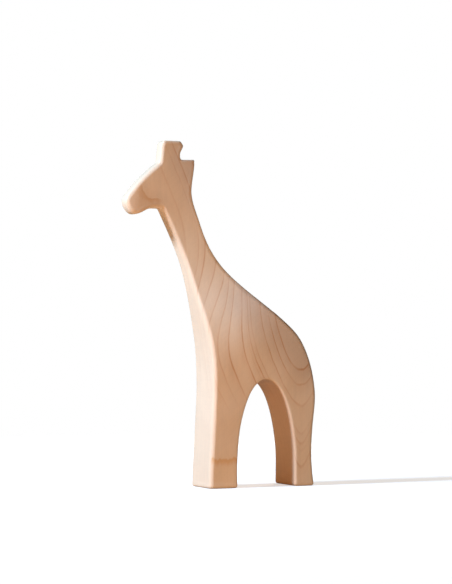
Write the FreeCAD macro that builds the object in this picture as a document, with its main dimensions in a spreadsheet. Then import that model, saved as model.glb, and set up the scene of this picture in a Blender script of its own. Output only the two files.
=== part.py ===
# Giraffe silhouette sawn from one board of maple, with its edges rounded over and its neck and
# head sanded thin. The giraffe looks towards -X, the board's faces look towards -Y and +Y, and
# the feet stand on z = 0. Millimetres.
import FreeCAD, Part
import os
import Sketcher

NODE = "giraffe_body"

# Guide points of a quarter ellipse lie at this share of its half axes.
QUARTER_BEND = 0.5523

# Two places closer than this are taken as one.
TOUCH = 0.05

# Driving dimensions. A "height" is measured up from the floor, a "drop" down from the top of the
# horn. A curve of the outline runs between corners and is drawn towards the guide points named
# here, as a spline is drawn towards its control points.
SIZES = [
    ("overall_height", 200.0, "floor to top of horn"),
    ("overall_length", 117.2, "muzzle tip to rump"),
    ("body_thickness", 27.0, "board thickness, kept by body and legs"),
    ("neck_thickness", 10.6, "thickness where the neck begins"),
    ("horn_thickness", 8.4, "thickness at the top of the horn"),
    ("edge_round", 2.6, "round-over along the sawn outline"),
    ("arch_round", 1.4, "round-over along the leg arch"),
    ("corner_round", 2.7, "rounding of the outward corners of horn and ear"),
    ("nook_round", 0.9, "rounding of the inward corners of throat, horn and ear"),
    ("sole_round", 1.0, "softening around the underside of each foot"),
    # Legs, set out forwards from the heel.
    ("heel_inset", 0.95, "heel ahead of the rump"),
    ("rear_foot", 13.4, "length of the rear foot"),
    ("leg_gap", 36.4, "gap between the feet"),
    ("front_foot", 18.2, "length of the front foot"),
    ("arch_height", 62.2, "floor to crown of the leg arch"),
    ("arch_spring", 11.9, "height where the arch leaves the straight legs"),
    # Front edge, from the toe up to the throat.
    ("shin_height", 24.0, "guide point of the shin"),
    ("shin_inset", 0.75, "shin guide behind the toe"),
    ("chest_height", 75.0, "guide point of the chest"),
    ("chest_inset", 5.65, "chest guide behind the toe"),
    ("neck_root_height", 106.3, "guide point at the root of the neck"),
    ("neck_root_reach", 5.55, "root guide ahead of the toe"),
    ("neck_front_drop", 69.1, "guide point of the neck's front"),
    ("neck_front_inset", 15.4, "front guide behind the throat"),
    ("throat_drop", 39.1, "throat corner"),
    ("throat_inset", 22.35, "throat corner behind the muzzle tip"),
    # Jaw, nose and brow, set out backwards from the muzzle tip.
    ("jaw_hollow", 5.2, "first guide of the jaw, ahead of the throat"),
    ("jaw_reach", 9.2, "second guide of the jaw, ahead of the throat"),
    ("chin_drop", 45.3, "guide point of the chin"),
    ("chin_inset", 5.1, "chin guide behind the muzzle tip"),
    ("nose_drop", 35.5, "guide point of the nose"),
    ("nose_reach", 1.85, "nose guide ahead of the muzzle tip"),
    ("bridge_drop", 30.1, "guide point where the nose turns into the brow"),
    ("bridge_inset", 2.45, "bridge guide behind the muzzle tip"),
    ("brow_drop", 20.5, "guide point of the brow"),
    ("brow_inset", 10.35, "brow guide behind the muzzle tip"),
    # Horn, notch and ear, set out backwards from the front of the horn.
    ("forehead_drop", 12.5, "foot of the horn's front"),
    ("horn_inset", 20.85, "horn's front behind the muzzle tip"),
    ("horn_lean", 1.3, "backward lean of the horn's front"),
    ("horn_length", 12.0, "length of the horn's top"),
    ("hook_reach", 2.3, "hook behind the horn's top"),
    ("hook_drop", 2.9, "point of the hook"),
    ("waist_drop", 7.0, "waist of the horn under the hook"),
    ("notch_drop", 10.8, "corner of the notch between horn and ear"),
    ("notch_length", 9.1, "notch and ear, from the horn to the ear point"),
    ("ear_drop", 10.3, "point of the ear, before its corner is rounded"),
    # Back edge, from the ear down to the heel.
    ("ear_back_drop", 17.6, "guide point under the ear"),
    ("nape_drop", 29.4, "guide point of the nape"),
    ("nape_inset", 4.2, "nape guide ahead of the ear point"),
    ("scruff_drop", 44.1, "guide point of the upper neck's back"),
    ("scruff_reach", 2.2, "scruff guide behind the ear point"),
    ("neck_back_drop", 70.2, "guide point of the lower neck's back"),
    ("neck_back_reach", 10.3, "neck guide behind the ear point"),
    ("croup_drop", 103.7, "guide point of the croup"),
    ("croup_inset", 19.15, "croup guide ahead of the rump"),
    ("haunch_fall", 11.4, "haunch guide below the croup guide"),
    ("haunch_inset", 6.65, "haunch guide ahead of the rump"),
    ("rump_height", 50.6, "guide point of the rump"),
    ("rump_reach", 3.75, "rump guide behind the rump"),
    ("hock_height", 29.0, "guide point of the hock"),
    ("hock_inset", 3.5, "hock guide ahead of the heel"),
    # Cheeks: the ramps that thin each side from the body up to the neck.
    ("ramp_front_drop", 172.2, "foot of the ramp, read below the muzzle tip"),
    ("ramp_back_rise", 26.2, "foot of the ramp above the rump, over the croup guide"),
    ("ramp_top_drop", 60.0, "top of the ramp"),
    ("ramp_lean", 2.3, "how far the ramp leans in before it steepens"),
    ("ramp_bend", 0.55, "where the ramp steepens, as a share of its height"),
    ("saw_clearance", 2.0, "how far a cut runs past the wood"),
]

# Places that the outline is set out from, as expressions over the sheet.
TOP = "Sizes.overall_height"
MUZZLE = "-Sizes.overall_length / 2"
RUMP = "Sizes.overall_length / 2"
HEEL = f"{RUMP} - Sizes.heel_inset"
REAR_TOE = f"{HEEL} - Sizes.rear_foot"
FRONT_HEEL = f"{REAR_TOE} - Sizes.leg_gap"
TOE = f"{FRONT_HEEL} - Sizes.front_foot"
THROAT = f"{MUZZLE} + Sizes.throat_inset"
HORN_FOOT = f"{MUZZLE} + Sizes.horn_inset"
HORN_FRONT = f"{HORN_FOOT} + Sizes.horn_lean"
HORN_BACK = f"{HORN_FRONT} + Sizes.horn_length"
EAR = f"{HORN_BACK} + Sizes.notch_length"


def after(place, size):
    """Expression for a place further along the axis by a size."""
    return f"{place} + Sizes.{size}"


def before(place, size):
    """Expression for a place further back along the axis by a size."""
    return f"{place} - Sizes.{size}"


def height(size):
    """Expression for a height above the floor."""
    return f"Sizes.{size}"


def drop(size):
    """Expression for a height that is measured down from the top of the horn."""
    return before(TOP, size)


# The sawn outline as a chain of runs that ends where it began. Two points make a straight run,
# more make a spline from the first to the last.
FLOOR = "0"
FRONT_EDGE = [
    (TOE, FLOOR),
    (after(TOE, "shin_inset"), height("shin_height")),
    (after(TOE, "chest_inset"), height("chest_height")),
    (before(TOE, "neck_root_reach"), height("neck_root_height")),
    (after(THROAT, "neck_front_inset"), drop("neck_front_drop")),
    (THROAT, drop("throat_drop")),
]
MUZZLE_EDGE = [
    (THROAT, drop("throat_drop")),
    (before(THROAT, "jaw_hollow"), drop("throat_drop")),
    (before(THROAT, "jaw_reach"), drop("throat_drop")),
    (after(MUZZLE, "chin_inset"), drop("chin_drop")),
    (before(MUZZLE, "nose_reach"), drop("nose_drop")),
    (after(MUZZLE, "bridge_inset"), drop("bridge_drop")),
    (after(MUZZLE, "brow_inset"), drop("brow_drop")),
    (HORN_FOOT, drop("forehead_drop")),
]
HORN_CORNERS = [
    (HORN_FOOT, drop("forehead_drop")),
    (HORN_FRONT, TOP),
    (HORN_BACK, TOP),
    (after(HORN_BACK, "hook_reach"), drop("hook_drop")),
    (HORN_BACK, drop("waist_drop")),
    (HORN_BACK, drop("notch_drop")),
    (EAR, drop("ear_drop")),
]
BACK_EDGE = [
    (EAR, drop("ear_drop")),
    (EAR, drop("ear_back_drop")),
    (before(EAR, "nape_inset"), drop("nape_drop")),
    (after(EAR, "scruff_reach"), drop("scruff_drop")),
    (after(EAR, "neck_back_reach"), drop("neck_back_drop")),
    (before(RUMP, "croup_inset"), drop("croup_drop")),
    (before(RUMP, "haunch_inset"), before(drop("croup_drop"), "haunch_fall")),
    (after(RUMP, "rump_reach"), height("rump_height")),
    (before(HEEL, "hock_inset"), height("hock_height")),
    (HEEL, FLOOR),
]
OUTLINE = [
    FRONT_EDGE,
    MUZZLE_EDGE,
    *[list(side) for side in zip(HORN_CORNERS, HORN_CORNERS[1:])],
    BACK_EDGE,
    [(HEEL, FLOOR), (TOE, FLOOR)],
]


def between(low, high, share):
    """Expression for a place at a share of the way from low to high."""
    return f"({low}) + {share} * (({high}) - ({low}))"


def set_out_sizes(doc):
    """Put the driving dimensions in the sheet."""
    sheet = doc.addObject("Spreadsheet::Sheet", "Sizes")
    for row, (alias, value, meaning) in enumerate(SIZES, start=1):
        sheet.set(f"A{row}", alias)
        sheet.set(f"B{row}", str(value))
        sheet.set(f"C{row}", meaning)
        sheet.setAlias(f"B{row}", alias)
    doc.recompute()
    return sheet


def origin_plane(body, role):
    """One of the body's own origin planes."""
    return next(plane for plane in body.Origin.OriginFeatures if plane.Role == role)


def new_sketch(body, name, role):
    """A sketch on one of the body's origin planes."""
    sketch = body.newObject("Sketcher::SketchObject", name)
    sketch.AttachmentSupport = [(origin_plane(body, role), "")]
    sketch.MapMode = "FlatFace"
    return sketch


def pin(sketch, element, vertex, across, up):
    """Hold a point of the sketch at two expressions over the sheet."""
    for kind, place in (("DistanceX", across), ("DistanceY", up)):
        index = sketch.addConstraint(Sketcher.Constraint(kind, -1, 1, element, vertex, 0.0))
        sketch.setExpression(f"Constraints[{index}]", place)


def draw_chain(sketch, runs):
    """Draw a closed chain of straight runs and splines, held at their points."""
    starts = []
    for number, run in enumerate(runs):
        # The solver moves these loose points to their places.
        loose = [FreeCAD.Vector(number + step, step * step, 0) for step in range(len(run))]
        if len(run) == 2:
            starts.append(sketch.addGeometry(Part.LineSegment(*loose), False))
        else:
            curve = Part.BSplineCurve()
            curve.buildFromPoles(loose, False, 3)
            spline = sketch.addGeometry(curve, False)
            sketch.exposeInternalGeometry(spline)
            for guide, place in enumerate(run[1:-1], start=spline + 2):
                pin(sketch, guide, 3, *place)
            starts.append(spline)
        pin(sketch, starts[-1], 1, *run[0])
    for this, following in zip(starts, starts[1:] + starts[:1]):
        sketch.addConstraint(Sketcher.Constraint("Coincident", this, 2, following, 1))


def saw_board(doc, body):
    """The board's full thickness, sawn to the outline."""
    outline = new_sketch(body, "Outline", "XZ_Plane")
    draw_chain(outline, OUTLINE)
    board = body.newObject("PartDesign::Pad", "SawnBoard")
    board.Profile = outline
    board.Midplane = True
    board.setExpression("Length", "Sizes.body_thickness")
    doc.recompute()
    return board


def saw_leg_arch(doc, body):
    """The arch between the legs: straight up the legs, then two quarter ellipses to the crown."""
    below = before(FLOOR, "saw_clearance")
    spring = height("arch_spring")
    crown = height("arch_height")
    middle = between(FRONT_HEEL, REAR_TOE, 0.5)
    shoulder = between(spring, crown, QUARTER_BEND)
    sides = []
    for foot in (FRONT_HEEL, REAR_TOE):
        leg = [(foot, below), (foot, spring)]
        haunch = between(middle, foot, QUARTER_BEND)
        curve = [(foot, spring), (foot, shoulder), (haunch, crown), (middle, crown)]
        sides.append((leg, curve))
    (front_leg, front_curve), (rear_leg, rear_curve) = sides
    sketch = new_sketch(body, "LegArch", "XZ_Plane")
    closing = [rear_leg[0], front_leg[0]]
    draw_chain(sketch, [front_leg, front_curve, rear_curve[::-1], rear_leg[::-1], closing])
    arch = body.newObject("PartDesign::Pocket", "SawnLegArch")
    arch.Profile = sketch
    arch.Midplane = True
    arch.setExpression("Length", "Sizes.body_thickness + 2 * Sizes.saw_clearance")
    doc.recompute()
    return arch


def draw_cheek_section(body, name, station, ramp_foot):
    """Section across the wood that a cheek loses, at one station along the giraffe."""
    face = "Sizes.body_thickness / 2"
    neck = "Sizes.neck_thickness / 2"
    ramp_top = drop("ramp_top_drop")
    bend = between(ramp_foot, ramp_top, "Sizes.ramp_bend")
    above = after(TOP, "saw_clearance")
    outside = after(face, "saw_clearance")
    ramp = [(face, ramp_foot), (before(face, "ramp_lean"), bend), (neck, bend), (neck, ramp_top)]
    corners = [ramp[-1], ("Sizes.horn_thickness / 2", above), (outside, above), (outside, ramp_foot), ramp[0]]
    section = new_sketch(body, name, "YZ_Plane")
    section.setExpression(".AttachmentOffset.Base.z", station)
    draw_chain(section, [ramp, *[list(side) for side in zip(corners, corners[1:])]])
    return section


def thin_cheeks(doc, body):
    """Thin both sides from the body up to the neck and head."""
    front_foot = drop("ramp_front_drop")
    back_foot = after(drop("croup_drop"), "ramp_back_rise")
    front = draw_cheek_section(body, "CheekFront", before(MUZZLE, "saw_clearance"), front_foot)
    back = draw_cheek_section(body, "CheekBack", after(RUMP, "saw_clearance"), back_foot)
    cheek = body.newObject("PartDesign::SubtractiveLoft", "ThinnedCheek")
    cheek.Profile = front
    cheek.Sections = [back]
    cheek.Ruled = True
    doc.recompute()
    both = body.newObject("PartDesign::Mirrored", "ThinnedCheeks")
    both.Originals = [cheek]
    both.MirrorPlane = (origin_plane(body, "XZ_Plane"), [""])
    body.Tip = both
    doc.recompute()
    return both


def middle_normal(face):
    """Outward normal in the middle of a face."""
    first_u, last_u, first_v, last_v = face.ParameterRange
    return face.normalAt((first_u + last_u) / 2, (first_v + last_v) / 2)


def normal_beside(face, point):
    """Outward normal of a face at a point of it."""
    return face.normalAt(*face.Surface.parameter(point))


def corner_edges(shape, inward):
    """Edges straight through the board's thickness where the outline turns inward or outward."""
    names = []
    for number, edge in enumerate(shape.Edges, start=1):
        middle = edge.valueAt((edge.FirstParameter + edge.LastParameter) / 2)
        across = abs(edge.tangentAt(edge.FirstParameter).y) > 0.99
        if not across or middle.z < TOUCH:
            continue
        one, other = (normal_beside(face, middle) for face in shape.ancestorsOfType(edge, Part.Face))
        turn = one - other
        if turn.Length > TOUCH and shape.isInside(middle + turn * TOUCH, TOUCH / 100, False) == inward:
            names.append(f"Edge{number}")
    return names


def rim_edges(doc, shape, of_arch):
    """Edges where a side of the giraffe meets the sawn outline or the leg arch, above the floor."""
    sheet = doc.getObject("Sizes")
    rear_toe = sheet.overall_length / 2 - sheet.heel_inset - sheet.rear_foot
    front_heel = rear_toe - sheet.leg_gap
    names = []
    for number, edge in enumerate(shape.Edges, start=1):
        tilts = [abs(middle_normal(face).y) for face in shape.ancestorsOfType(edge, Part.Face)]
        box = edge.BoundBox
        if min(tilts) > 0.1 or max(tilts) < 0.5 or box.ZMax < TOUCH:
            continue
        across_gap = front_heel - TOUCH < box.XMin and box.XMax < rear_toe + TOUCH
        in_arch = across_gap and box.ZMax < sheet.arch_height + TOUCH
        if in_arch == of_arch:
            names.append(f"Edge{number}")
    return names


def sole_edges(shape):
    """Edges around the underside of each foot."""
    return [f"Edge{number}" for number, edge in enumerate(shape.Edges, start=1) if edge.BoundBox.ZMax < TOUCH]


def ease(doc, body, name, edges, size):
    """Round the named edges of the body's last feature."""
    wood = body.Tip
    fillet = body.newObject("PartDesign::Fillet", name)
    fillet.Base = (wood, edges)
    fillet.setExpression("Radius", f"Sizes.{size}")
    doc.recompute()
    return fillet


def make_giraffe(doc):
    """The whole giraffe: one board, sawn to shape, thinned and rounded over."""
    body = doc.addObject("PartDesign::Body", "GiraffeBody")
    body.Label = NODE
    saw_board(doc, body)
    saw_leg_arch(doc, body)
    thin_cheeks(doc, body)
    ease(doc, body, "EasedNooks", corner_edges(body.Shape, True), "nook_round")
    ease(doc, body, "EasedCorners", corner_edges(body.Shape, False), "corner_round")
    ease(doc, body, "RoundedOver", rim_edges(doc, body.Shape, False), "edge_round")
    ease(doc, body, "RoundedArch", rim_edges(doc, body.Shape, True), "arch_round")
    ease(doc, body, "EasedSoles", sole_edges(body.Shape), "sole_round")
    return body


def check(doc, bodies):
    """Stop if a feature failed or a body has no sound shape."""
    failed = [item.Name for item in doc.Objects if {"Invalid", "Error"} & set(item.State)]
    if failed:
        raise RuntimeError(f"failed features: {failed}")
    for body in bodies:
        if body.Shape.isNull() or not body.Shape.isValid():
            raise RuntimeError(f"{body.Label} has no sound shape")


def main():
    doc = FreeCAD.newDocument("Giraffe")
    set_out_sizes(doc)
    bodies = [make_giraffe(doc)]
    check(doc, bodies)
    os.makedirs("parts", exist_ok=True)
    for body in bodies:
        body.Shape.exportStep(f"parts/{body.Label}.step")


main()
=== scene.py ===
# Looks of the wooden giraffe: one piece of sanded maple, a pale floor, soft studio light.
import bpy
import math
import numpy as np
from mathutils import Euler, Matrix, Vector, noise


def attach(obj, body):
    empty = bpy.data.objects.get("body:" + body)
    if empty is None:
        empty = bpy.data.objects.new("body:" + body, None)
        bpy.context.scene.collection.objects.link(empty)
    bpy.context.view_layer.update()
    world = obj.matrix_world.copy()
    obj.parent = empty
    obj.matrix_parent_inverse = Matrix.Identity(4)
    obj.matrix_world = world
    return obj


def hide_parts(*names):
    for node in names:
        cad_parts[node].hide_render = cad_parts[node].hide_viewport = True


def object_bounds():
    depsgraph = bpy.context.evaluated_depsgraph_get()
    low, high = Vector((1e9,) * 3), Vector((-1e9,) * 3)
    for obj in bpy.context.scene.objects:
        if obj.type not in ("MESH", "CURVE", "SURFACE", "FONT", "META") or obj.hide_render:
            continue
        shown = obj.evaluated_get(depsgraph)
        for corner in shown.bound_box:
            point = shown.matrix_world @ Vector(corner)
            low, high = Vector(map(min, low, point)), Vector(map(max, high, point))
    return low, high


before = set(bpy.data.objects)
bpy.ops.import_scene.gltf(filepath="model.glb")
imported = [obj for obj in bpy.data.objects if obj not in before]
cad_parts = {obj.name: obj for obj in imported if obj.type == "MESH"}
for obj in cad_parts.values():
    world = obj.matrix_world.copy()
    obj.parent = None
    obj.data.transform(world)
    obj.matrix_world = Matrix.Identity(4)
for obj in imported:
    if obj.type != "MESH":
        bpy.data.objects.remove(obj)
cad_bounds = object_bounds()

LOW = Vector(cad_bounds[0])
HIGH = Vector(cad_bounds[1])
MIDDLE = (LOW + HIGH) / 2
MM = 0.001
WHITE = (1, 1, 1, 1)

# They keep divisions away from zero.
SMALL = 1e-6
TINY = 1e-12

# Camera: a long lens beside the giraffe, turned towards its chest. Degrees, then metres, then
# the millimetres of the lens.
VIEW_TURN = -25.0
VIEW_LIFT = 0.65
VIEW_DISTANCE = 1.3363
VIEW_ACROSS = 0.00566
VIEW_ABOVE = 0.0132
LENS = 141.8
SENSOR = 36.0

# Round lamps: place from the middle of the giraffe's box, width, power and colour, and whether
# the wood's sheen shows them. The key is high in front of the giraffe, the side lamp is beside
# the camera, the bounce is warm light off a table top, and the rear lamp lifts the far side.
LAMPS = (
    ("Key", (-0.93, -0.045, 0.58), 0.18, 17.3, (0.76, 1.08, 1.50), True),
    ("Side", (0.05, -0.50, -0.04), 0.30, 0.50, (0.60, 0.92, 1.08), True),
    ("Bounce", (-0.16, -0.29, -0.05), 0.25, 0.78, (0.92, 0.44, 0.15), True),
    ("Rear", (0.42, 0.50, 0.12), 0.35, 3.2, (1.0, 0.86, 0.74), False),
)
ROOM_COLOR = (1.0, 0.85, 0.70, 1)
ROOM_LEVEL = 0.035

# The floor throws warm light back, as a table top does, and shows white with a soft shadow. It
# is full up to one distance from the giraffe and gone at the other. Metres.
TABLE_COLOR = (0.50, 0.34, 0.21, 1)
FLOOR_COLOR = (0.60, 0.60, 0.60, 1)
FLOOR_GLOW = 0.55
FLOOR_ROUGHNESS = 0.9
FLOOR_HALF = 2.0
FLOOR_GAP = 0.05 * MM
FLOOR_FULL = 0.20
FLOOR_END = 0.65

# Shape of the wood, in millimetres. The solid is remade as an even mesh and eased.
VOXEL = 0.6
EASING = 0.5
EASING_TURNS = 8
# The solid has one round-over nearly all round. On the real one it is narrower on the back of
# the upper neck and head, from one height up to another, and on top of the horn and the ear.
SOLID_ROUND = 2.6
NARROW_ROUND = 0.9
NARROW_LOW = 100.0
NARROW_FULL = 150.0
# How far a face has to look back, or up, to count. 1 is straight back or straight up.
BACK_LEAST = -0.1
BACK_FULL = 0.5
TOP_LEAST = 0.75
TOP_FULL = 0.95
TOP_DROP_START = 16.0
TOP_DROP_FULL = 13.0
# The round-over of the leg arch and of the feet stays.
ARCH_LOW_X = -1.0
ARCH_HIGH_X = 41.0
ARCH_TOP = 65.0
SOLE_HEIGHT = 1.5
# Corners made crisp: where they are, from the muzzle's tip and the horn's top, and which ways
# the two edges beside them face, as x and z.
CORNER_ROUND = 2.7
CORNER_REACH = 1.25
CRISP_ROUND = 0.8
CORNERS = (
    ((43.3, -10.3), (-0.02, 1.0), (0.998, -0.06)),
    ((34.15, 0.0), (0.0, 1.0), (0.78, 0.62)),
    ((36.45, -2.9), (0.78, 0.62), (0.87, -0.49)),
)
# The muzzle gets thinner towards its tip, over a length and by a share.
MUZZLE_LENGTH = 9.0
MUZZLE_THINNING = 0.13
# The sides are evened over one reach, and over a shorter one beside the rims, on a grid of 1 mm
# with a margin. Points count as side where their normal looks sideways by such shares.
SIDE_REACH = 7
RIM_REACH = 1.5
SPREAD_SPAN = 3 * SIDE_REACH
MARGIN = 4
SIDE_FACING = 0.95
SIDE_LEAST = 0.93
SIDE_FULL = 0.98
# Unevenness left by sanding: how deep, how fine, and from where to where it grows above the
# floor and below the top.
SANDING = 0.10
SANDING_FINE = 0.06
SANDING_FLOOR = (1.0, 4.0)
SANDING_TOP = (0.2, 3.0)

# Maple. The annual rings are thin shells around the middle of the tree, so one field gives them
# all over the wood: across the board, less the taper of the trunk, plus the curve of the rings.
# Millimetres.
TAPER = 0.266
RING_SLOPE = 2.23
TREE_MIDDLE = 48.3
# How blunt the shells are at their crown, from the feet up to the haunch.
CROWN_LEAST = 2.5
CROWN_FULL = 8.0
CROWN_LOW = 25.0
CROWN_HIGH = 60.0
# The middle of the tree sways back over a height, in full in front and less further back.
SWAY = 39.3
SWAY_LOW = 68.0
SWAY_HIGH = 158.0
SWAY_FULL = 1.0
SWAY_EDGE = 16.0
SWAY_LEAST = 0.326
# The rings waver: how fine along x, y and z, and how far.
SLOW_WAVER = (0.07, 0.07, 0.0315)
SLOW_AMOUNT = 1.1
QUICK_WAVER = (0.35, 0.35, 0.105)
QUICK_AMOUNT = 0.35
# Each ring line: its place in the field, its width and how dark it is.
RINGS = (
    (-31.4, 0.32, 1.00),
    (-28.9, 0.30, 0.85),
    (-25.9, 0.32, 0.85),
    (-21.6, 0.34, 0.60),
    (-20.0, 0.38, 0.90),
    (-18.9, 0.30, 0.35),
    (-16.4, 0.42, 1.00),
    (-10.2, 0.46, 0.90),
    (-5.8, 0.42, 0.65),
    (-1.3, 0.44, 0.70),
    (3.4, 0.44, 0.60),
    (8.0, 0.44, 0.75),
    (10.6, 0.40, 0.35),
    (15.7, 0.55, 0.35),
)
# A line starts over one width and ends over this many, and a faint tail runs on behind it.
LINE_END = 1.4
TAIL_END = 8.0
TAIL_DARK = 0.22
# Rings fade low in the legs, by one share in front of the parting and by another behind it.
LEG_PARTING = 14.0
PARTING_WIDTH = 6.0
FADE_LOW = 42.0
FADE_HIGH = 66.0
FRONT_FADE = 0.95
REAR_FADE = 0.45
# Rings come and go along their length, and fade on the sawn edges.
PATCH_FINE = (0.10, 0.10, 0.045)
PATCH_RANGE = (-0.18, 0.16)
PATCH_LEAST = 0.35
EDGE_FADE = 0.65
EDGE_FACING = (0.45, 0.85)

PALE = (0.75, 0.55, 0.385, 1)
RING_TINT = (0.78, 0.56, 0.42, 1)
# Painted light and shade on the sides, in part the wood's own tone: where the sides are paler or
# darker, the two ends of a stretch, as x and z, its reach and tint.
TONE_AND_PAINTED_LIGHT = (
    # Paler and pinker on the ramp and the lower neck: painted light.
    (-22.0, 135.0, 0.0, 100.0, 30.0, (1.07, 1.17, 1.28)),
    # Darker on the rump: painted shade.
    (18.0, 108.0, 56.0, 72.0, 26.0, (0.80, 0.80, 0.84)),
    # Darker on the horn and the ear: painted shade.
    (-20.0, 192.0, -12.0, 172.0, 20.0, (0.84, 0.85, 0.90)),
    # Darker and warmer at the lower tip of the muzzle.
    (-50.0, 162.0, -40.0, 162.0, 12.0, (0.90, 0.86, 0.82)),
    # A little warmer and paler low at the feet: painted bounce light off the floor.
    (0.0, 0.0, 0.0, 10.0, 16.0, (1.04, 1.02, 0.96)),
)
# The sawn face inside the arch is painted darker, as painted shade: a stretch, its reach and its
# tint.
ARCH_SHADE_STRETCH = (24.0, 0.0, 22.0, 50.0)
ARCH_SHADE_REACH = 30.0
ARCH_SHADE_TINT = (0.74, 0.55, 0.41, 1)
# A dark band with a wavy top crosses the front leg and fades out below.
BAND_RISE = 16.6
BAND_WAVE = 6.0
BAND_FINE = (0.30, 0.0, 0.0)
BAND_FOOT = -4.5
BAND_TOP = -0.3
BAND_END = 1.4
BAND_EDGE = 2.0
BAND_TINT = (0.90, 0.74, 0.56, 1)
# A dark ring goes around the cheek at the lower front: its middle and half axes as x and z, how
# square it is, its waver, and where it starts and ends, in shares of the half axes.
CHEEK_MIDDLE = (-38.0, 178.5)
CHEEK_SIZE = (11.6, 12.6)
CHEEK_SQUARE = 3.0
CHEEK_FINE = (0.25, 0.25, 0.25)
CHEEK_WAVE = 0.35
CHEEK_START = -0.07
CHEEK_END = 0.30
CHEEK_FRONT = (-0.20, 0.25)
CHEEK_LOWER = (-0.60, -0.15)
CHEEK_TINT = (0.90, 0.78, 0.66, 1)
# Fine patterns: how fine along x, y and z, how many layers, and how much each changes the tone.
FIBRE_FINE = (1.6, 1.6, 0.09)
FIBRE_LAYERS = 3.0
FIBRE_CRISP = 0.6
FIBRE_TONE = 0.13
PORE_FINE = (5.0, 5.0, 0.45)
PORE_LAYERS = 1.0
PORE_RANGE = (0.16, 0.30)
PORE_TONE = -0.07
STRAND_FINE = (0.35, 0.35, 0.02)
STRAND_TONE = 0.07
CLOUD_FINE = (0.06, 0.06, 0.035)
CLOUD_TONE = 0.08
CURL_FINE = (0.12, 0.12, 0.9)
CURL_LEAN = 40.0
CURL_TONE = 0.07
# Satin from sanding: roughness and relief, and how much fibres, rings and pores change them.
ROUGHNESS = 0.52
FIBRE_ROUGH = 0.10
RING_ROUGH = 0.06
SHINE = 0.35
RELIEF = 0.25
RELIEF_HEIGHT = 0.06 * MM
RING_RELIEF = -0.35
PORE_RELIEF = 0.3


class Weave:
    """Short way to build a node network."""

    def __init__(self, tree):
        self.tree = tree

    def node(self, kind, **settings):
        """New node with its settings."""
        made = self.tree.nodes.new(kind)
        for name, value in settings.items():
            setattr(made, name, value)
        return made

    def feed(self, socket, value):
        """Link a socket to a value of the network, or set it to a constant."""
        if isinstance(value, bpy.types.NodeSocket):
            self.tree.links.new(value, socket)
        else:
            socket.default_value = value

    def math(self, operation, *values):
        """Result of one sum."""
        made = self.node("ShaderNodeMath", operation=operation)
        for socket, value in zip(made.inputs, values):
            self.feed(socket, value)
        return made.outputs[0]

    def line(self, value, start, end, low=0.0, high=1.0, kind="LINEAR"):
        """Straight ramp from low at the start to high at the end."""
        made = self.node("ShaderNodeMapRange", interpolation_type=kind)
        self.feed(made.inputs["Value"], value)
        made.inputs["From Min"].default_value = start
        made.inputs["From Max"].default_value = end
        made.inputs["To Min"].default_value = low
        made.inputs["To Max"].default_value = high
        return made.outputs["Result"]

    def smooth(self, value, start, end, low=0.0, high=1.0):
        """Smooth step from low at the start to high at the end."""
        return self.line(value, start, end, low, high, "SMOOTHSTEP")

    def stretch(self, place, scale):
        """The place, with each axis scaled."""
        made = self.node("ShaderNodeVectorMath", operation="MULTIPLY")
        self.feed(made.inputs[0], place)
        made.inputs[1].default_value = scale
        return made.outputs[0]

    def slant(self, place, angle):
        """The place, turned about the axis across the board."""
        made = self.node("ShaderNodeVectorRotate", rotation_type="Y_AXIS")
        self.feed(made.inputs["Vector"], place)
        made.inputs["Angle"].default_value = math.radians(angle)
        return made.outputs[0]

    def noise(self, place, fine, layers=2.0, crisp=0.5):
        """Noise around 0, with its own fineness along each axis."""
        made = self.node("ShaderNodeTexNoise")
        self.feed(made.inputs["Vector"], self.stretch(place, fine))
        made.inputs["Scale"].default_value = 1.0
        made.inputs["Detail"].default_value = layers
        made.inputs["Roughness"].default_value = crisp
        return self.math("SUBTRACT", made.outputs["Fac"], 0.5)

    def near(self, along, up, ends, reach):
        """How near a point is to a stretch of the side view: 1 on it, 0 at its reach."""
        low_x, low_z, high_x, high_z = ends
        run = Vector((high_x - low_x, high_z - low_z))
        from_x = self.math("SUBTRACT", along, low_x)
        from_z = self.math("SUBTRACT", up, low_z)
        share = self.math("MULTIPLY", from_x, run.x / run.length_squared)
        share = self.math("MULTIPLY_ADD", from_z, run.y / run.length_squared, share)
        share = self.math("MINIMUM", self.math("MAXIMUM", share, 0.0), 1.0)
        off_x = self.math("MULTIPLY_ADD", share, -run.x, from_x)
        off_z = self.math("MULTIPLY_ADD", share, -run.y, from_z)
        square = self.math("MULTIPLY_ADD", off_x, off_x, self.math("MULTIPLY", off_z, off_z))
        return self.smooth(self.math("SQRT", square), 0.0, reach, 1.0, 0.0)

    def grey(self, value):
        """Grey of a level."""
        made = self.node("ShaderNodeCombineColor")
        for socket in made.inputs:
            self.feed(socket, value)
        return made.outputs[0]

    def blend(self, share, one, other, kind="MIX"):
        """Mix of two colours. Inputs 6 and 7 and output 2 are this node's colour sockets."""
        made = self.node("ShaderNodeMix", data_type="RGBA", blend_type=kind)
        for number, value in ((0, share), (6, one), (7, other)):
            self.feed(made.inputs[number], value)
        return made.outputs[2]

    def tint(self, share, color, tint):
        """Colour multiplied by a tint, by a share."""
        return self.blend(share, color, self.blend(1.0, color, tint, "MULTIPLY"))

    def for_camera(self, others, camera):
        """One shader for what the camera sees, another for the light between things."""
        mix = self.node("ShaderNodeMixShader")
        self.feed(mix.inputs[0], self.node("ShaderNodeLightPath").outputs["Is Camera Ray"])
        self.feed(mix.inputs[1], others.outputs[0])
        self.feed(mix.inputs[2], camera.outputs[0])
        return mix.outputs[0]


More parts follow.
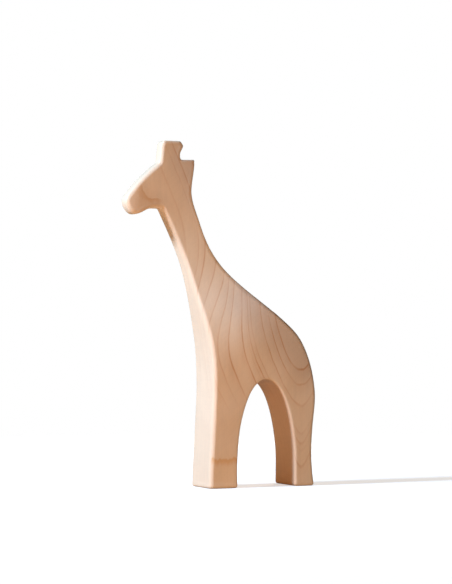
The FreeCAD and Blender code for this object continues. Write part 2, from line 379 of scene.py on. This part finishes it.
def make_camera():
    """Camera on the middle of the giraffe's box, at the chosen turn and distance."""
    data = bpy.data.cameras.new("Camera")
    data.sensor_fit = "VERTICAL"
    data.sensor_height = SENSOR
    data.lens = LENS
    camera = bpy.data.objects.new("Camera", data)
    camera.rotation_euler = Euler((math.radians(90.0 + VIEW_LIFT), 0.0, math.radians(VIEW_TURN)))
    aside = Vector((VIEW_ACROSS, VIEW_ABOVE, VIEW_DISTANCE))
    camera.location = MIDDLE + camera.rotation_euler.to_matrix() @ aside
    bpy.context.scene.collection.objects.link(camera)
    bpy.context.scene.camera = camera


def make_lamp(name, place, size, power, color, glints):
    """Round soft lamp that faces the middle of the giraffe."""
    data = bpy.data.lights.new(name, "AREA")
    data.shape = "DISK"
    data.size = size
    data.energy = power
    data.color = color
    lamp = bpy.data.objects.new(name, data)
    lamp.location = MIDDLE + Vector(place)
    lamp.rotation_euler = (-Vector(place)).to_track_quat("-Z", "Y").to_euler()
    lamp.visible_camera = False
    lamp.visible_glossy = glints
    bpy.context.scene.collection.objects.link(lamp)


def make_world():
    """Soft room light, with a white background for the camera."""
    world = bpy.data.worlds.new("Room")
    bpy.context.scene.world = world
    world.use_nodes = True
    world.node_tree.nodes.clear()
    weave = Weave(world.node_tree)
    room = weave.node("ShaderNodeBackground")
    room.inputs["Color"].default_value = ROOM_COLOR
    room.inputs["Strength"].default_value = ROOM_LEVEL
    white = weave.node("ShaderNodeBackground")
    white.inputs["Color"].default_value = WHITE
    surface = weave.node("ShaderNodeOutputWorld").inputs["Surface"]
    weave.feed(surface, weave.for_camera(room, white))


def make_floor():
    """Pale floor that fades out into the white around it."""
    mesh = bpy.data.meshes.new("Floor")
    corners = [
        (-FLOOR_HALF, -FLOOR_HALF, 0),
        (FLOOR_HALF, -FLOOR_HALF, 0),
        (FLOOR_HALF, FLOOR_HALF, 0),
        (-FLOOR_HALF, FLOOR_HALF, 0),
    ]
    mesh.from_pydata(corners, [], [(0, 1, 2, 3)])
    floor = bpy.data.objects.new("Floor", mesh)
    floor.location.z = LOW.z - FLOOR_GAP
    bpy.context.scene.collection.objects.link(floor)
    material = bpy.data.materials.new("PaleFloor")
    material.use_nodes = True
    weave = Weave(material.node_tree)
    shader = material.node_tree.nodes["Principled BSDF"]
    shader.inputs["Base Color"].default_value = FLOOR_COLOR
    shader.inputs["Roughness"].default_value = FLOOR_ROUGHNESS
    shader.inputs["Specular IOR Level"].default_value = 0.0
    shader.inputs["Emission Color"].default_value = WHITE
    shader.inputs["Emission Strength"].default_value = FLOOR_GLOW
    away = weave.node("ShaderNodeVectorMath", operation="LENGTH")
    weave.feed(away.inputs[0], weave.node("ShaderNodeTexCoord").outputs["Object"])
    shown = weave.smooth(away.outputs["Value"], FLOOR_FULL, FLOOR_END, 1.0, 0.0)
    weave.feed(shader.inputs["Alpha"], shown)
    table = weave.node("ShaderNodeBsdfDiffuse")
    table.inputs["Color"].default_value = TABLE_COLOR
    surface = material.node_tree.nodes["Material Output"].inputs["Surface"]
    weave.feed(surface, weave.for_camera(table, shader))
    mesh.materials.append(material)


def ring_group():
    """Node group: how dark one ring line is at a value of the field."""
    tree = bpy.data.node_groups.new("RingLine", "ShaderNodeTree")
    for name in ("Field", "Place", "Width", "Dark"):
        tree.interface.new_socket(name, in_out="INPUT", socket_type="NodeSocketFloat")
    tree.interface.new_socket("Line", in_out="OUTPUT", socket_type="NodeSocketFloat")
    weave = Weave(tree)
    given = weave.node("NodeGroupInput").outputs
    from_line = weave.math("SUBTRACT", given["Field"], given["Place"])
    share = weave.math("DIVIDE", from_line, given["Width"])
    start = weave.smooth(share, -1.0, 0.0)
    sharp = weave.math("MULTIPLY", start, weave.smooth(share, 0.0, LINE_END, 1.0, 0.0))
    tail = weave.math("MULTIPLY", start, weave.smooth(share, 0.0, TAIL_END, TAIL_DARK, 0.0))
    line = weave.math("MULTIPLY", weave.math("MAXIMUM", sharp, tail), given["Dark"])
    weave.feed(weave.node("NodeGroupOutput").inputs["Line"], line)
    return tree


def ring_field(weave, place, along, across, up):
    """The field of the annual rings."""
    weight = weave.line(along, SWAY_FULL, SWAY_EDGE, 1.0, SWAY_LEAST)
    sway = weave.math("MULTIPLY", weave.smooth(up, SWAY_LOW, SWAY_HIGH, 0.0, SWAY), weight)
    aside = weave.math("SUBTRACT", weave.math("SUBTRACT", along, TREE_MIDDLE), sway)
    blunt = weave.smooth(up, CROWN_LOW, CROWN_HIGH, CROWN_LEAST, CROWN_FULL)
    square = weave.math("MULTIPLY_ADD", aside, aside, weave.math("MULTIPLY", blunt, blunt))
    crown = weave.math("SUBTRACT", weave.math("SQRT", square), blunt)
    curve = weave.math("MULTIPLY", crown, TAPER * RING_SLOPE)
    rise = weave.math("MULTIPLY_ADD", up, -TAPER, across)
    field = weave.math("ADD", rise, curve)
    field = weave.math("MULTIPLY_ADD", weave.noise(place, SLOW_WAVER), SLOW_AMOUNT, field)
    return weave.math("MULTIPLY_ADD", weave.noise(place, QUICK_WAVER), QUICK_AMOUNT, field)


def ring_lines(weave, field):
    """How dark the ring lines are, from 0 between them."""
    group = ring_group()
    lines = 0.0
    for ring, width, dark in RINGS:
        made = weave.node("ShaderNodeGroup", node_tree=group)
        weave.feed(made.inputs["Field"], field)
        made.inputs["Place"].default_value = ring
        made.inputs["Width"].default_value = width
        made.inputs["Dark"].default_value = dark
        lines = weave.math("MAXIMUM", lines, made.outputs["Line"])
    return lines


def rings_shown(weave, place, along, up, edge):
    """How much of the ring lines shows: less low in the legs, in patches and on the edges."""
    front = weave.smooth(along, LEG_PARTING, LEG_PARTING + PARTING_WIDTH, 1.0, 0.0)
    low = weave.smooth(up, FADE_LOW, FADE_HIGH, 1.0, 0.0)
    fade = weave.math("MULTIPLY_ADD", front, FRONT_FADE - REAR_FADE, REAR_FADE)
    legs = weave.math("SUBTRACT", 1.0, weave.math("MULTIPLY", fade, low))
    patches = weave.line(weave.noise(place, PATCH_FINE), *PATCH_RANGE, PATCH_LEAST, 1.0)
    edges = weave.math("MULTIPLY_ADD", edge, -EDGE_FADE, 1.0)
    return weave.math("MULTIPLY", weave.math("MULTIPLY", legs, patches), edges)


def leg_band(weave, place, along, up, side):
    """Wavy dark band across the foot of the front leg."""
    wave = weave.noise(place, BAND_FINE, 1.0)
    top = weave.math("MULTIPLY_ADD", wave, BAND_WAVE, BAND_RISE)
    from_top = weave.math("SUBTRACT", up, top)
    below = weave.smooth(from_top, BAND_FOOT, BAND_TOP)
    above = weave.smooth(from_top, BAND_TOP, BAND_END, 1.0, 0.0)
    front = weave.smooth(along, LEG_PARTING, LEG_PARTING + BAND_EDGE, 1.0, 0.0)
    band = weave.math("MULTIPLY", below, above)
    return weave.math("MULTIPLY", band, weave.math("MULTIPLY", front, side))


def cheek_band(weave, place, along, up, side):
    """Dark growth ring that the rounding of the muzzle cuts through."""
    offsets = []
    cubes = []
    for value, middle, half in zip((along, up), CHEEK_MIDDLE, CHEEK_SIZE):
        offset = weave.math("DIVIDE", weave.math("SUBTRACT", value, middle), half)
        offsets.append(offset)
        cubes.append(weave.math("POWER", weave.math("ABSOLUTE", offset), CHEEK_SQUARE))
    far = weave.math("POWER", weave.math("ADD", *cubes), 1 / CHEEK_SQUARE)
    outside = weave.math("SUBTRACT", far, 1.0)
    away = weave.math("MULTIPLY_ADD", weave.noise(place, CHEEK_FINE), CHEEK_WAVE, outside)
    start = weave.smooth(away, CHEEK_START, 0.0)
    line = weave.math("MULTIPLY", start, weave.smooth(away, 0.0, CHEEK_END, 1.0, 0.0))
    front = weave.smooth(offsets[0], *CHEEK_FRONT, 1.0, 0.0)
    lower = weave.smooth(offsets[1], *CHEEK_LOWER, 1.0, 0.0)
    line = weave.math("MULTIPLY", line, side)
    return weave.math("MULTIPLY", line, weave.math("MULTIPLY", front, lower))


def make_maple():
    """Sanded maple, with painted light and shade on its sides and painted shade inside the arch.
    """
    material = bpy.data.materials.new("Maple")
    material.use_nodes = True
    weave = Weave(material.node_tree)
    shader = material.node_tree.nodes["Principled BSDF"]

    # Place on the giraffe in millimetres, and whether a face is a side or a sawn edge.
    metres = weave.node("ShaderNodeTexCoord").outputs["Object"]
    place = weave.stretch(metres, (1 / MM, 1 / MM, 1 / MM))
    split = weave.node("ShaderNodeSeparateXYZ")
    weave.feed(split.inputs[0], place)
    along, across, up = split.outputs
    normal = weave.node("ShaderNodeSeparateXYZ")
    weave.feed(normal.inputs[0], weave.node("ShaderNodeTexCoord").outputs["Normal"])
    side = weave.smooth(weave.math("ABSOLUTE", normal.outputs["Y"]), *EDGE_FACING)
    edge = weave.math("SUBTRACT", 1.0, side)

    lines = ring_lines(weave, ring_field(weave, place, along, across, up))
    lines = weave.math("MULTIPLY", lines, rings_shown(weave, place, along, up, edge))

    # Tone of the wood, with painted light and shade on the sides, painted shade inside the arch,
    # and the rings and bands over it.
    color = PALE
    for *ends, reach, tint in TONE_AND_PAINTED_LIGHT:
        # Painted light and shade on the sides, in part the wood's own tone.
        near = weave.math("MULTIPLY", weave.near(along, up, ends, reach), side)
        color = weave.tint(near, color, (*tint, 1))
    # Painted shade on the sawn faces inside the arch.
    inside = weave.math("MULTIPLY", edge, weave.near(along, up, ARCH_SHADE_STRETCH, ARCH_SHADE_REACH))
    color = weave.tint(inside, color, ARCH_SHADE_TINT)
    color = weave.tint(lines, color, RING_TINT)
    color = weave.tint(leg_band(weave, place, along, up, side), color, BAND_TINT)
    color = weave.tint(cheek_band(weave, place, along, up, side), color, CHEEK_TINT)

    # Fibres, pores, strands, clouds and curl.
    fibre = weave.noise(place, FIBRE_FINE, FIBRE_LAYERS, FIBRE_CRISP)
    pores = weave.noise(place, PORE_FINE, PORE_LAYERS)
    strand = weave.noise(place, STRAND_FINE)
    cloud = weave.noise(place, CLOUD_FINE)
    curl = weave.noise(weave.slant(place, CURL_LEAN), CURL_FINE)
    tone = weave.math("MULTIPLY_ADD", fibre, FIBRE_TONE, 1.0)
    tone = weave.math("MULTIPLY_ADD", strand, STRAND_TONE, tone)
    tone = weave.math("MULTIPLY_ADD", cloud, CLOUD_TONE, tone)
    tone = weave.math("MULTIPLY_ADD", curl, CURL_TONE, tone)
    tone = weave.math("MULTIPLY_ADD", weave.smooth(pores, *PORE_RANGE), PORE_TONE, tone)
    color = weave.blend(1.0, color, weave.grey(tone), "MULTIPLY")
    weave.feed(shader.inputs["Base Color"], color)

    # Satin surface, a little rougher along the ring lines.
    rough = weave.math("MULTIPLY_ADD", fibre, FIBRE_ROUGH, ROUGHNESS)
    weave.feed(shader.inputs["Roughness"], weave.math("MULTIPLY_ADD", lines, RING_ROUGH, rough))
    shader.inputs["Specular IOR Level"].default_value = SHINE
    bump = weave.node("ShaderNodeBump")
    bump.inputs["Strength"].default_value = RELIEF
    bump.inputs["Distance"].default_value = RELIEF_HEIGHT
    relief = weave.math("MULTIPLY_ADD", lines, RING_RELIEF, fibre)
    relief = weave.math("MULTIPLY_ADD", pores, PORE_RELIEF, relief)
    weave.feed(bump.inputs["Height"], relief)
    weave.feed(shader.inputs["Normal"], bump.outputs[0])
    return material


def outward(turn, half, round_from, round_to):
    """How far the points of a rounded corner move out along their normals when its radius
    shrinks. The turn is measured from the middle of the corner, half is where its sides begin."""
    side = round_from / np.cos(half - np.minimum(np.abs(turn), half))
    shift = (round_from - round_to) / math.cos(half)
    inside = np.maximum(round_to ** 2 - (shift * np.sin(turn)) ** 2, 0)
    tip = shift * np.cos(turn) + np.sqrt(inside)
    tip_half = half - math.atan2((round_from - round_to) * math.tan(half), round_from)
    reach = np.where(np.abs(turn) < tip_half, np.minimum(tip, side), side)
    return np.where(np.abs(turn) < half, reach - round_from, 0)


def ramp_up(value, start, end):
    """Smooth step from 0 at the start to 1 at the end."""
    share = np.clip((value - start) / (end - start), 0, 1)
    return share * share * (3 - 2 * share)


def read_points(mesh):
    """Points of a mesh in millimetres, and their normals."""
    points = np.zeros(len(mesh.vertices) * 3)
    mesh.vertices.foreach_get("co", points)
    normals = np.zeros(len(mesh.vertices) * 3)
    mesh.vertex_normals.foreach_get("vector", normals)
    return points.reshape(-1, 3) / MM, normals.reshape(-1, 3)


def write_points(mesh, points):
    """Put a mesh's points at the given places, in millimetres."""
    mesh.vertices.foreach_set("co", (points * MM).ravel())
    mesh.update()


def sharpen_rims(points, normals):
    """Narrow the round-over at the back of the upper neck and head, and on top of the head."""
    x = points[:, 0]
    z = points[:, 2]
    top = HIGH.z / MM
    flat = np.hypot(normals[:, 0], normals[:, 2])
    facing = normals[:, 0] / np.maximum(flat, SMALL)
    lifted = normals[:, 2] / np.maximum(flat, SMALL)
    behind = ramp_up(facing, BACK_LEAST, BACK_FULL) * ramp_up(z, NARROW_LOW, NARROW_FULL)
    above = ramp_up(lifted, TOP_LEAST, TOP_FULL)
    above = above * ramp_up(z, top - TOP_DROP_START, top - TOP_DROP_FULL)
    arch = (x > ARCH_LOW_X) & (x < ARCH_HIGH_X) & (z < ARCH_TOP)
    sole = z < LOW.z / MM + SOLE_HEIGHT
    share = np.where(arch | sole, 0, np.maximum(behind, above))
    turn = np.arctan2(np.abs(normals[:, 1]), flat) - math.pi / 4
    move = outward(turn, math.pi / 4, SOLID_ROUND, NARROW_ROUND) * share
    return points + normals * move[:, None]


def sharpen_corner(points, place, one, other):
    """Make one corner of the outline crisp."""
    corner = np.array((LOW.x / MM + place[0], HIGH.z / MM + place[1]))
    one = np.array(one) / np.linalg.norm(one)
    other = np.array(other) / np.linalg.norm(other)
    centre = corner - (one + other) * CORNER_ROUND / (1 + one @ other)
    away = points[:, (0, 2)] - centre
    far = np.linalg.norm(away, axis=1)
    middle = (one + other) / np.linalg.norm(one + other)
    half = math.acos(one @ middle)
    turn = np.arctan2(away[:, 0] * middle[1] - away[:, 1] * middle[0], away @ middle)
    inside = (np.abs(turn) < half) & (far < CORNER_ROUND * CORNER_REACH)
    grow = np.where(inside, outward(turn, half, CORNER_ROUND, CRISP_ROUND) / CORNER_ROUND, 0)
    moved = points.copy()
    moved[:, (0, 2)] += away * grow[:, None]
    return moved


def thin_muzzle(points):
    """Round the sides of the muzzle in towards its tip."""
    ahead = np.clip(1 - (points[:, 0] - LOW.x / MM) / MUZZLE_LENGTH, 0, 1)
    moved = points.copy()
    moved[:, 1] *= 1 - MUZZLE_THINNING * ahead ** 2
    return moved


def spread(grid, reach):
    """Blur a grid over a reach in cells."""
    steps = np.arange(-SPREAD_SPAN, SPREAD_SPAN + 1)
    weight = np.exp(-0.5 * (steps / reach) ** 2)
    for axis in (0, 1):
        grid = np.apply_along_axis(np.convolve, axis, grid, weight, "same")
    return grid


def read_grid(grid, spot):
    """Values of a grid at places between its cells."""
    low = np.floor(spot).astype(int)
    over = spot - low
    value = 0
    for right in (0, 1):
        for up in (0, 1):
            weight = np.abs(1 - right - over[:, 0]) * np.abs(1 - up - over[:, 1])
            value = value + weight * grid[low[:, 0] + right, low[:, 1] + up]
    return value


def even_sides(points, normals):
    """Sand the creases out of the sides, by evening out the half thickness over a grid."""
    spot = points[:, (0, 2)] - points[:, (0, 2)].min(axis=0) + MARGIN
    size = np.ceil(spot.max(axis=0)).astype(int) + MARGIN
    sideways = np.abs(normals[:, 1])
    side = sideways > SIDE_FACING
    cell = tuple(np.round(spot[side]).astype(int).T)
    total = np.zeros(size)
    count = np.zeros(size)
    np.add.at(total, cell, np.abs(points[side, 1]))
    np.add.at(count, cell, 1)
    evened = spread(total, SIDE_REACH) / (spread(count, SIDE_REACH) + TINY)
    found = spread(total, RIM_REACH) / (spread(count, RIM_REACH) + TINY)
    level = ramp_up(sideways, SIDE_LEAST, SIDE_FULL)
    moved = points.copy()
    scaled = points[:, 1] * read_grid(evened / np.maximum(found, 1), spot)
    moved[:, 1] = scaled + level * (np.sign(points[:, 1]) * read_grid(evened, spot) - scaled)
    return moved


def sand(points, normals):
    """Slight unevenness that hand sanding leaves, always inwards."""
    bottom = LOW.z / MM
    top = HIGH.z / MM
    uneven = [noise.noise(Vector(point) * SANDING_FINE) for point in points]
    above = ramp_up(points[:, 2], bottom + SANDING_FLOOR[0], bottom + SANDING_FLOOR[1])
    below = ramp_up(points[:, 2], top - SANDING_TOP[0], top - SANDING_TOP[1])
    inset = np.minimum(np.array(uneven) * 2, 1) - 1
    return points + normals * (SANDING * inset * above * below)[:, None]


def make_giraffe(solid):
    """The sanded wood, made over the solid's shape."""
    mesh = solid.data.copy()
    mesh.name = "GiraffeWood"
    giraffe = bpy.data.objects.new("giraffe_wood", mesh)
    bpy.context.scene.collection.objects.link(giraffe)
    remesh = giraffe.modifiers.new("Even", "REMESH")
    remesh.mode = "VOXEL"
    remesh.voxel_size = VOXEL * MM
    smooth = giraffe.modifiers.new("Smooth", "SMOOTH")
    smooth.factor = EASING
    smooth.iterations = EASING_TURNS
    depsgraph = bpy.context.evaluated_depsgraph_get()
    even = bpy.data.meshes.new_from_object(giraffe.evaluated_get(depsgraph))
    giraffe.modifiers.clear()
    giraffe.data = even
    even.shade_smooth()
    points, normals = read_points(even)
    points = even_sides(points, normals)
    points = sharpen_rims(points, normals)
    for place, one, other in CORNERS:
        points = sharpen_corner(points, place, one, other)
    points = thin_muzzle(points)
    points = sand(points, normals)
    write_points(even, points)
    return giraffe


bpy.context.scene.view_settings.view_transform = "Standard"
make_camera()
make_floor()
make_world()
for lamp in LAMPS:
    make_lamp(*lamp)
giraffe = make_giraffe(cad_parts["giraffe_body"])
giraffe.data.materials.clear()
giraffe.data.materials.append(make_maple())
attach(giraffe, "root")
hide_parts("giraffe_body")
